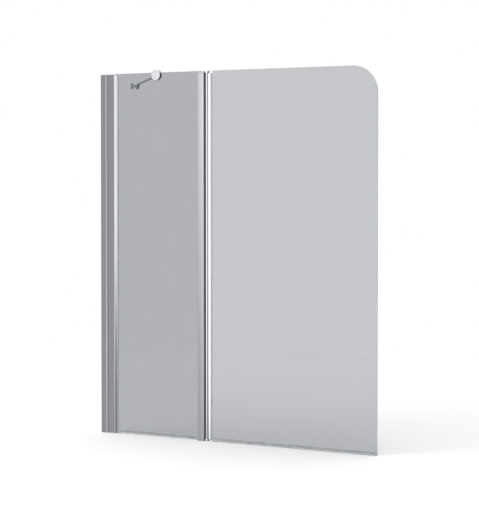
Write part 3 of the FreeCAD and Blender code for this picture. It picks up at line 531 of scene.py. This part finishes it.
@dataclass
class HingeLine(SubAssembly):
    """The hinge post, the swing profile and the pivots between them."""

    profile_edge: float = 0.4 * MM
    bracket_edge: float = 0.6 * MM
    rubber_edge: float = 0.3 * MM

    def build(self) -> list[bpy.types.Object]:
        """Softens what shows of the hinge and dresses the pivots inside.

        Returns:
            The pieces.
        """
        pieces = [
            self.soften("hinge_post", Surface.BRIGHT_ALUMINIUM, self.profile_edge),
            self.soften("swing_hinge_profile", Surface.BRIGHT_ALUMINIUM, self.profile_edge),
            self.soften("post_side_gasket", Surface.PALE_VINYL, self.rubber_edge),
            self.soften("swing_gasket", Surface.PALE_VINYL, self.rubber_edge),
            # The dark strip paints the shade in the gap between the post and the swing profile
            self.soften("hinge_gap_strip", Surface.GAP_SHADE_RUBBER, self.rubber_edge),
            self.keep("pivot_bracket_screws", Surface.STAINLESS_STEEL),
        ]
        for end in ("top", "bottom"):
            pieces += [
                self.soften(f"pivot_bracket_{end}", Surface.POLISHED_CHROME, self.bracket_edge),
                self.keep(f"pivot_pin_{end}", Surface.STAINLESS_STEEL),
                self.keep(f"pivot_bush_{end}", Surface.BEARING_PLASTIC),
            ]
        return pieces


@dataclass
class Brace(SubAssembly):
    """The stay from the top of the fixed pane to its fork bracket."""

    fitting_edge: float = 0.4 * MM
    fork_edge: float = 0.5 * MM

    def build(self) -> list[bpy.types.Object]:
        """Softens the chrome fittings and dresses the rod and the screws.

        Returns:
            The pieces.
        """
        return [
            self.soften("brace_clamp", Surface.SATIN_CHROME, self.fitting_edge),
            self.soften("brace_socket", Surface.POLISHED_CHROME, self.fitting_edge),
            self.soften("brace_rod_end", Surface.POLISHED_CHROME, self.fitting_edge),
            self.soften("brace_wall_fork", Surface.SATIN_CHROME, self.fork_edge),
            self.soften("brace_cap_nut", Surface.POLISHED_CHROME, self.fitting_edge),
            self.keep("brace_rod", Surface.POLISHED_CHROME),
            self.keep("brace_clamp_pads", Surface.CLEAR_VINYL),
            self.keep("brace_clamp_grub_screw", Surface.STAINLESS_STEEL),
            self.keep("brace_socket_screw", Surface.STAINLESS_STEEL),
            self.keep("brace_rod_grub_screws", Surface.STAINLESS_STEEL),
            self.keep("brace_fork_screw", Surface.STAINLESS_STEEL),
        ]


# Studio


class Side(Enum):
    """The sides of the glass, each with its sign on the axis across it."""

    FRONT = -1
    BACK = 1


class Layer(Enum):
    """How far a card stands before its side's backing. No two cards that overlap share a layer."""

    BACKING = 0.0
    END = 0.05
    STRIP = 0.1
    DETAIL = 0.2


@dataclass(frozen=True)
class ReflectionCard:
    """A card that shows only in reflections, as the panels round a product table do.

    The card starts and ends at the two places of its span, and between the two places of full it
    glows fully. Its foot gives the height where it is clear, and the height where it glows fully.
    A ray's glossy depth passes first_mirror at the first mirror that it meets.
    """

    name: str
    colour: str
    strength: float
    layer: Layer
    span: tuple[float, float]
    full: tuple[float, float] | None = None
    foot: tuple[float, float] | None = None
    first_mirror: float = 0.5

    def stand(self, label: str, corners: list[Vector]) -> None:
        """Sets the card up.

        Args:
            label: The name of the card that stands there.
            corners: Foot left, foot right, head left and head right.
        """
        bpy.ops.object.select_all(action="DESELECT")
        bpy.ops.mesh.primitive_plane_add()
        card = bpy.context.object
        card.name = label
        for vertex, corner in zip(card.data.vertices, corners):
            vertex.co = corner
        card.data.materials.append(self.glow(label))
        card.visible_camera = False
        card.visible_diffuse = False
        card.visible_shadow = False

    def fades(self) -> list[tuple[str, float, float]]:
        """Lists the card's soft edges.

        Returns:
            For each, its axis, where the card is clear and where it glows fully.
        """
        ends = zip(self.span, self.full or self.span)
        fades = [("X", clear, full) for clear, full in ends if clear != full]
        if self.foot:
            fades.append(("Z", *self.foot))
        return fades

    def glow(self, label: str) -> bpy.types.Material:
        """Makes the card's even glow, with its soft edges.

        Args:
            label: The material's name.

        Returns:
            A material that is clear to every ray that hasn't met a mirror on its way.
        """
        material = new_material(label)
        tree = material.node_tree
        rays = add_node(tree, "ShaderNodeLightPath")
        mirrored = add_node(tree, "ShaderNodeMath", {
            0: rays.outputs["Glossy Depth"], 1: self.first_mirror,
        }, operation="GREATER_THAN")
        place = add_node(tree, "ShaderNodeTexCoord")
        axes = add_node(tree, "ShaderNodeSeparateXYZ", {0: place.outputs["Object"]})
        share = mirrored.outputs[0]
        for axis, clear_at, full_at in self.fades():
            ramp = add_node(tree, "ShaderNodeMapRange", {
                "Value": axes.outputs[axis], "From Min": clear_at, "From Max": full_at,
            }, interpolation_type="SMOOTHSTEP")
            both = add_node(
                tree, "ShaderNodeMath", {0: share, 1: ramp.outputs["Result"]}, operation="MULTIPLY"
            )
            share = both.outputs[0]
        clear = add_node(tree, "ShaderNodeBsdfTransparent")
        light = add_node(
            tree, "ShaderNodeEmission", {"Color": linear(self.colour), "Strength": self.strength}
        )
        mix = add_node(
            tree, "ShaderNodeMixShader", {0: share, 1: clear.outputs[0], 2: light.outputs[0]}
        )
        add_node(tree, "ShaderNodeOutputMaterial", {"Surface": mix.outputs[0]})
        return material


# Each comment says what the card gives the eye, most of all at the photograph's angle
CARDS = {
    Side.FRONT: (
        # The even grey of flat metal and of the fixed pane
        ReflectionCard("grey_card", CARD_GREY, 1.0, Layer.BACKING, span=(-CARD_REACH, CARD_REACH)),
        # The bright stripe down the left profile, which dims towards its foot
        ReflectionCard(
            "soft_strip", WHITE, 1.15, Layer.STRIP, span=(0.55, 1.6), full=(0.83, 1.25),
            foot=(-0.48, 0.96),
        ),
        # A paler grey on metal that faces left
        ReflectionCard("pale_end", WHITE, 0.65, Layer.STRIP, span=(-9.0, -2.6), full=(-9.0, -2.92)),
        # The swing pane's lighter tone, which ends at the hinge, and the highlight on the barrel
        ReflectionCard(
            "window", WHITE, 2.5, Layer.STRIP, span=(-1.696, -0.3), full=(-1.676, -0.5),
            foot=(-0.912, -0.096),
        ),
        # The bright front of the hinge post, which dims all the way down
        ReflectionCard(
            "flange_strip", WHITE, 0.95, Layer.DETAIL, span=(-1.74, -1.64), full=(-1.695, -1.64),
            foot=(-0.744, 1.896),
        ),
        # The darker front of the left profile
        ReflectionCard(
            "shade_strip", "#A7A8AB", 1.0, Layer.DETAIL, span=(-2.55, -2.2), full=(-2.48, -2.34)
        ),
        # The dark side of round metal
        ReflectionCard("dark_end", "#7C7D81", 1.0, Layer.END, span=(1.2, 9.0), full=(1.668, 9.0)),
        # The dark foot of the stripe down the left profile
        ReflectionCard(
            "foot_shade", "#8A8B8E", 1.0, Layer.DETAIL, span=(0.55, 1.6), full=(0.83, 1.25),
            foot=(0.6, -0.408),
        ),
    ),
    Side.BACK: (
        # The even grey of flat metal and of both panes
        ReflectionCard("grey_card", CARD_GREY, 1.0, Layer.BACKING, span=(-CARD_REACH, CARD_REACH)),
        # Soft bright bands on round metal, dimmer than in front so that none clips
        ReflectionCard(
            "soft_strip", WHITE, 0.9, Layer.STRIP, span=(0.55, 1.6), full=(0.83, 1.25),
            foot=(-0.48, 0.96),
        ),
        ReflectionCard("pale_end", WHITE, 0.65, Layer.STRIP, span=(-9.0, -2.6), full=(-9.0, -2.92)),
        ReflectionCard("window", WHITE, 0.95, Layer.STRIP, span=(-2.6, 0.2), full=(-1.34, -1.06)),
        # The dark core of round metal, between a bright strip and a bright far end
        ReflectionCard("dark_end", "#4C4D50", 1.0, Layer.END, span=(1.2, 9.0), full=(1.668, 9.0)),
        ReflectionCard(
            "bright_strip", WHITE, 1.1, Layer.DETAIL, span=(1.65, 2.2), full=(1.815, 2.035)
        ),
        ReflectionCard("bright_end", WHITE, 0.95, Layer.DETAIL, span=(2.8, 9.0), full=(3.42, 9.0)),
    ),
}


@dataclass(frozen=True)
class Studio:
    """The camera at the photograph's angle, a white surround and its reflection cards."""

    image_height_px: float = 522
    focal_length_px: float = 1795.59
    rise_px: float = -28.74
    sensor: float = 36.0
    camera_place: tuple[float, float, float] = (4.0858, -5.7455, 0.9964)
    camera_yaw: float = math.radians(31.07)
    camera_pitch: float = math.radians(-1.735)
    view_reach: float = 200.0
    floor_fade: tuple[float, float] = (2.0, 4.0)
    floor_thinning: float = 0.71
    floor_sides: int = 96
    floor_drop: float = 1 * MM
    floor_colour: str = "#E6E6E6"
    key_size: float = 2.4
    key_place: tuple[float, float, float] = (-1.6, -3.2, 3.4)
    key_power: float = 60.0
    card_distance: float = 3.6
    card_foot: float = -18.0
    card_head: float = 6.0

    def set_camera(self) -> None:
        """Places the camera and frames the picture as the photograph is framed."""
        data = bpy.data.cameras.new("camera")
        data.sensor_width = self.sensor
        data.lens = self.focal_length_px / self.image_height_px * self.sensor
        data.shift_y = self.rise_px / self.image_height_px
        data.clip_end = self.view_reach
        camera = bpy.data.objects.new("camera", data)
        camera.location = self.camera_place
        camera.rotation_euler = (math.radians(90) + self.camera_pitch, 0, self.camera_yaw)
        bpy.context.scene.collection.objects.link(camera)
        bpy.context.scene.camera = camera

    def lay_floor(self) -> None:
        """Lays a round pale floor just under the object, out of the mirrors' sight."""
        bpy.ops.object.select_all(action="DESELECT")
        middle = (CAD_BOX[0] + CAD_BOX[1]) / 2
        bpy.ops.mesh.primitive_circle_add(
            vertices=self.floor_sides, radius=self.floor_fade[1], fill_type="NGON",
            location=(middle.x, 0, -self.floor_drop),
        )
        floor = bpy.context.object
        floor.name = "floor"
        floor.data.materials.append(self.floor_material())
        floor.visible_glossy = False

    def floor_material(self) -> bpy.types.Material:
        """Makes the floor's finish.

        Returns:
            A matt material that shows white where no shadow falls, fades out far away, and is thin
            behind glass.
        """
        material = new_material("pale_floor")
        tree = material.node_tree
        colour = linear(self.floor_colour)
        matt = add_node(tree, "ShaderNodeBsdfDiffuse", {"Color": colour})
        rays = add_node(tree, "ShaderNodeLightPath")
        seen = rays.outputs["Is Camera Ray"]
        for kind in ("Is Glossy Ray", "Is Transmission Ray"):
            either = add_node(
                tree, "ShaderNodeMath", {0: seen, 1: rays.outputs[kind]}, operation="MAXIMUM"
            )
            seen = either.outputs[0]
        lift = add_node(tree, "ShaderNodeMath", {0: seen, 1: 1 - colour[0]}, operation="MULTIPLY")
        glow = add_node(tree, "ShaderNodeEmission", {"Strength": lift.outputs[0]})
        both = add_node(tree, "ShaderNodeAddShader", {0: matt.outputs[0], 1: glow.outputs[0]})
        place = add_node(tree, "ShaderNodeTexCoord")
        distance = add_node(
            tree, "ShaderNodeVectorMath", {0: place.outputs["Object"]}, operation="LENGTH"
        )
        fade = add_node(tree, "ShaderNodeMapRange", {
            "Value": distance.outputs["Value"],
            "From Min": self.floor_fade[0], "From Max": self.floor_fade[1],
        }, interpolation_type="SMOOTHSTEP")
        thin = add_node(tree, "ShaderNodeMath", {
            0: rays.outputs["Is Transmission Ray"], 1: self.floor_thinning,
        }, operation="MULTIPLY")
        share = add_node(
            tree, "ShaderNodeMath", {0: fade.outputs["Result"], 1: thin.outputs[0]}, operation="MAXIMUM"
        )
        clear = add_node(tree, "ShaderNodeBsdfTransparent")
        faded = add_node(
            tree, "ShaderNodeMixShader", {0: share.outputs[0], 1: both.outputs[0], 2: clear.outputs[0]}
        )
        add_node(tree, "ShaderNodeOutputMaterial", {"Surface": faded.outputs[0]})
        return material

    def light(self) -> None:
        """Lights the studio evenly, with one soft lamp high in front."""
        world = bpy.data.worlds.new("white_surround")
        world.use_nodes = True
        world.node_tree.nodes.clear()
        white = add_node(world.node_tree, "ShaderNodeBackground", {"Color": linear(WHITE)})
        add_node(world.node_tree, "ShaderNodeOutputWorld", {"Surface": white.outputs[0]})
        bpy.context.scene.world = world
        data = bpy.data.lights.new("key", "AREA")
        data.size = self.key_size
        data.energy = self.key_power
        key = bpy.data.objects.new("key", data)
        key.location = self.key_place
        aim = Vector((CAD_BOX[0] + CAD_BOX[1]) / 2) - key.location
        key.rotation_euler = aim.to_track_quat("-Z", "Y").to_euler()
        key.visible_camera = False
        key.visible_transmission = False
        key.visible_glossy = False
        bpy.context.scene.collection.objects.link(key)

    def stand_cards(self, side: Side) -> None:
        """Stands one side's reflection cards, which run on below the floor so that it isn't mirrored.

        Args:
            side: The side of the glass that the cards stand on.
        """
        for card in CARDS[side]:
            depth = side.value * (self.card_distance - card.layer.value)
            corners = [
                Vector((x, depth, z)) for z in (self.card_foot, self.card_head) for x in card.span
            ]
            card.stand(f"{card.name}_{side.name.lower()}", corners)

    def stand_end_cards(self) -> None:
        """Stands a grey card at each end of the glass, so that the ends have something to mirror."""
        width = (-self.card_distance, self.card_distance)
        for label, x in (("left_end", -CARD_REACH), ("right_end", CARD_REACH)):
            corners = [Vector((x, y, z)) for z in (self.card_foot, self.card_head) for y in width]
            ReflectionCard(label, CARD_GREY, 1.0, Layer.BACKING, span=width).stand(label, corners)

    def set_up(self) -> None:
        """Builds the whole studio."""
        self.set_camera()
        self.lay_floor()
        self.light()
        for side in Side:
            self.stand_cards(side)
        self.stand_end_cards()
        bpy.context.scene.view_settings.view_transform = "Standard"


def main() -> None:
    """Builds and dresses the screen, then the studio round it."""
    logging.basicConfig(level=logging.INFO, format="%(name)s: %(message)s")
    materials = {finish.surface: finish.build() for finish in FINISHES}
    for kind in (FixedEdge, Panes, HingeLine, Brace):
        for piece in kind(materials).build():
            log.info("%s: %s, %d faces", kind.__name__, piece.name, len(piece.data.polygons))
    Studio().set_up()


if __name__ == "__main__":
    main()
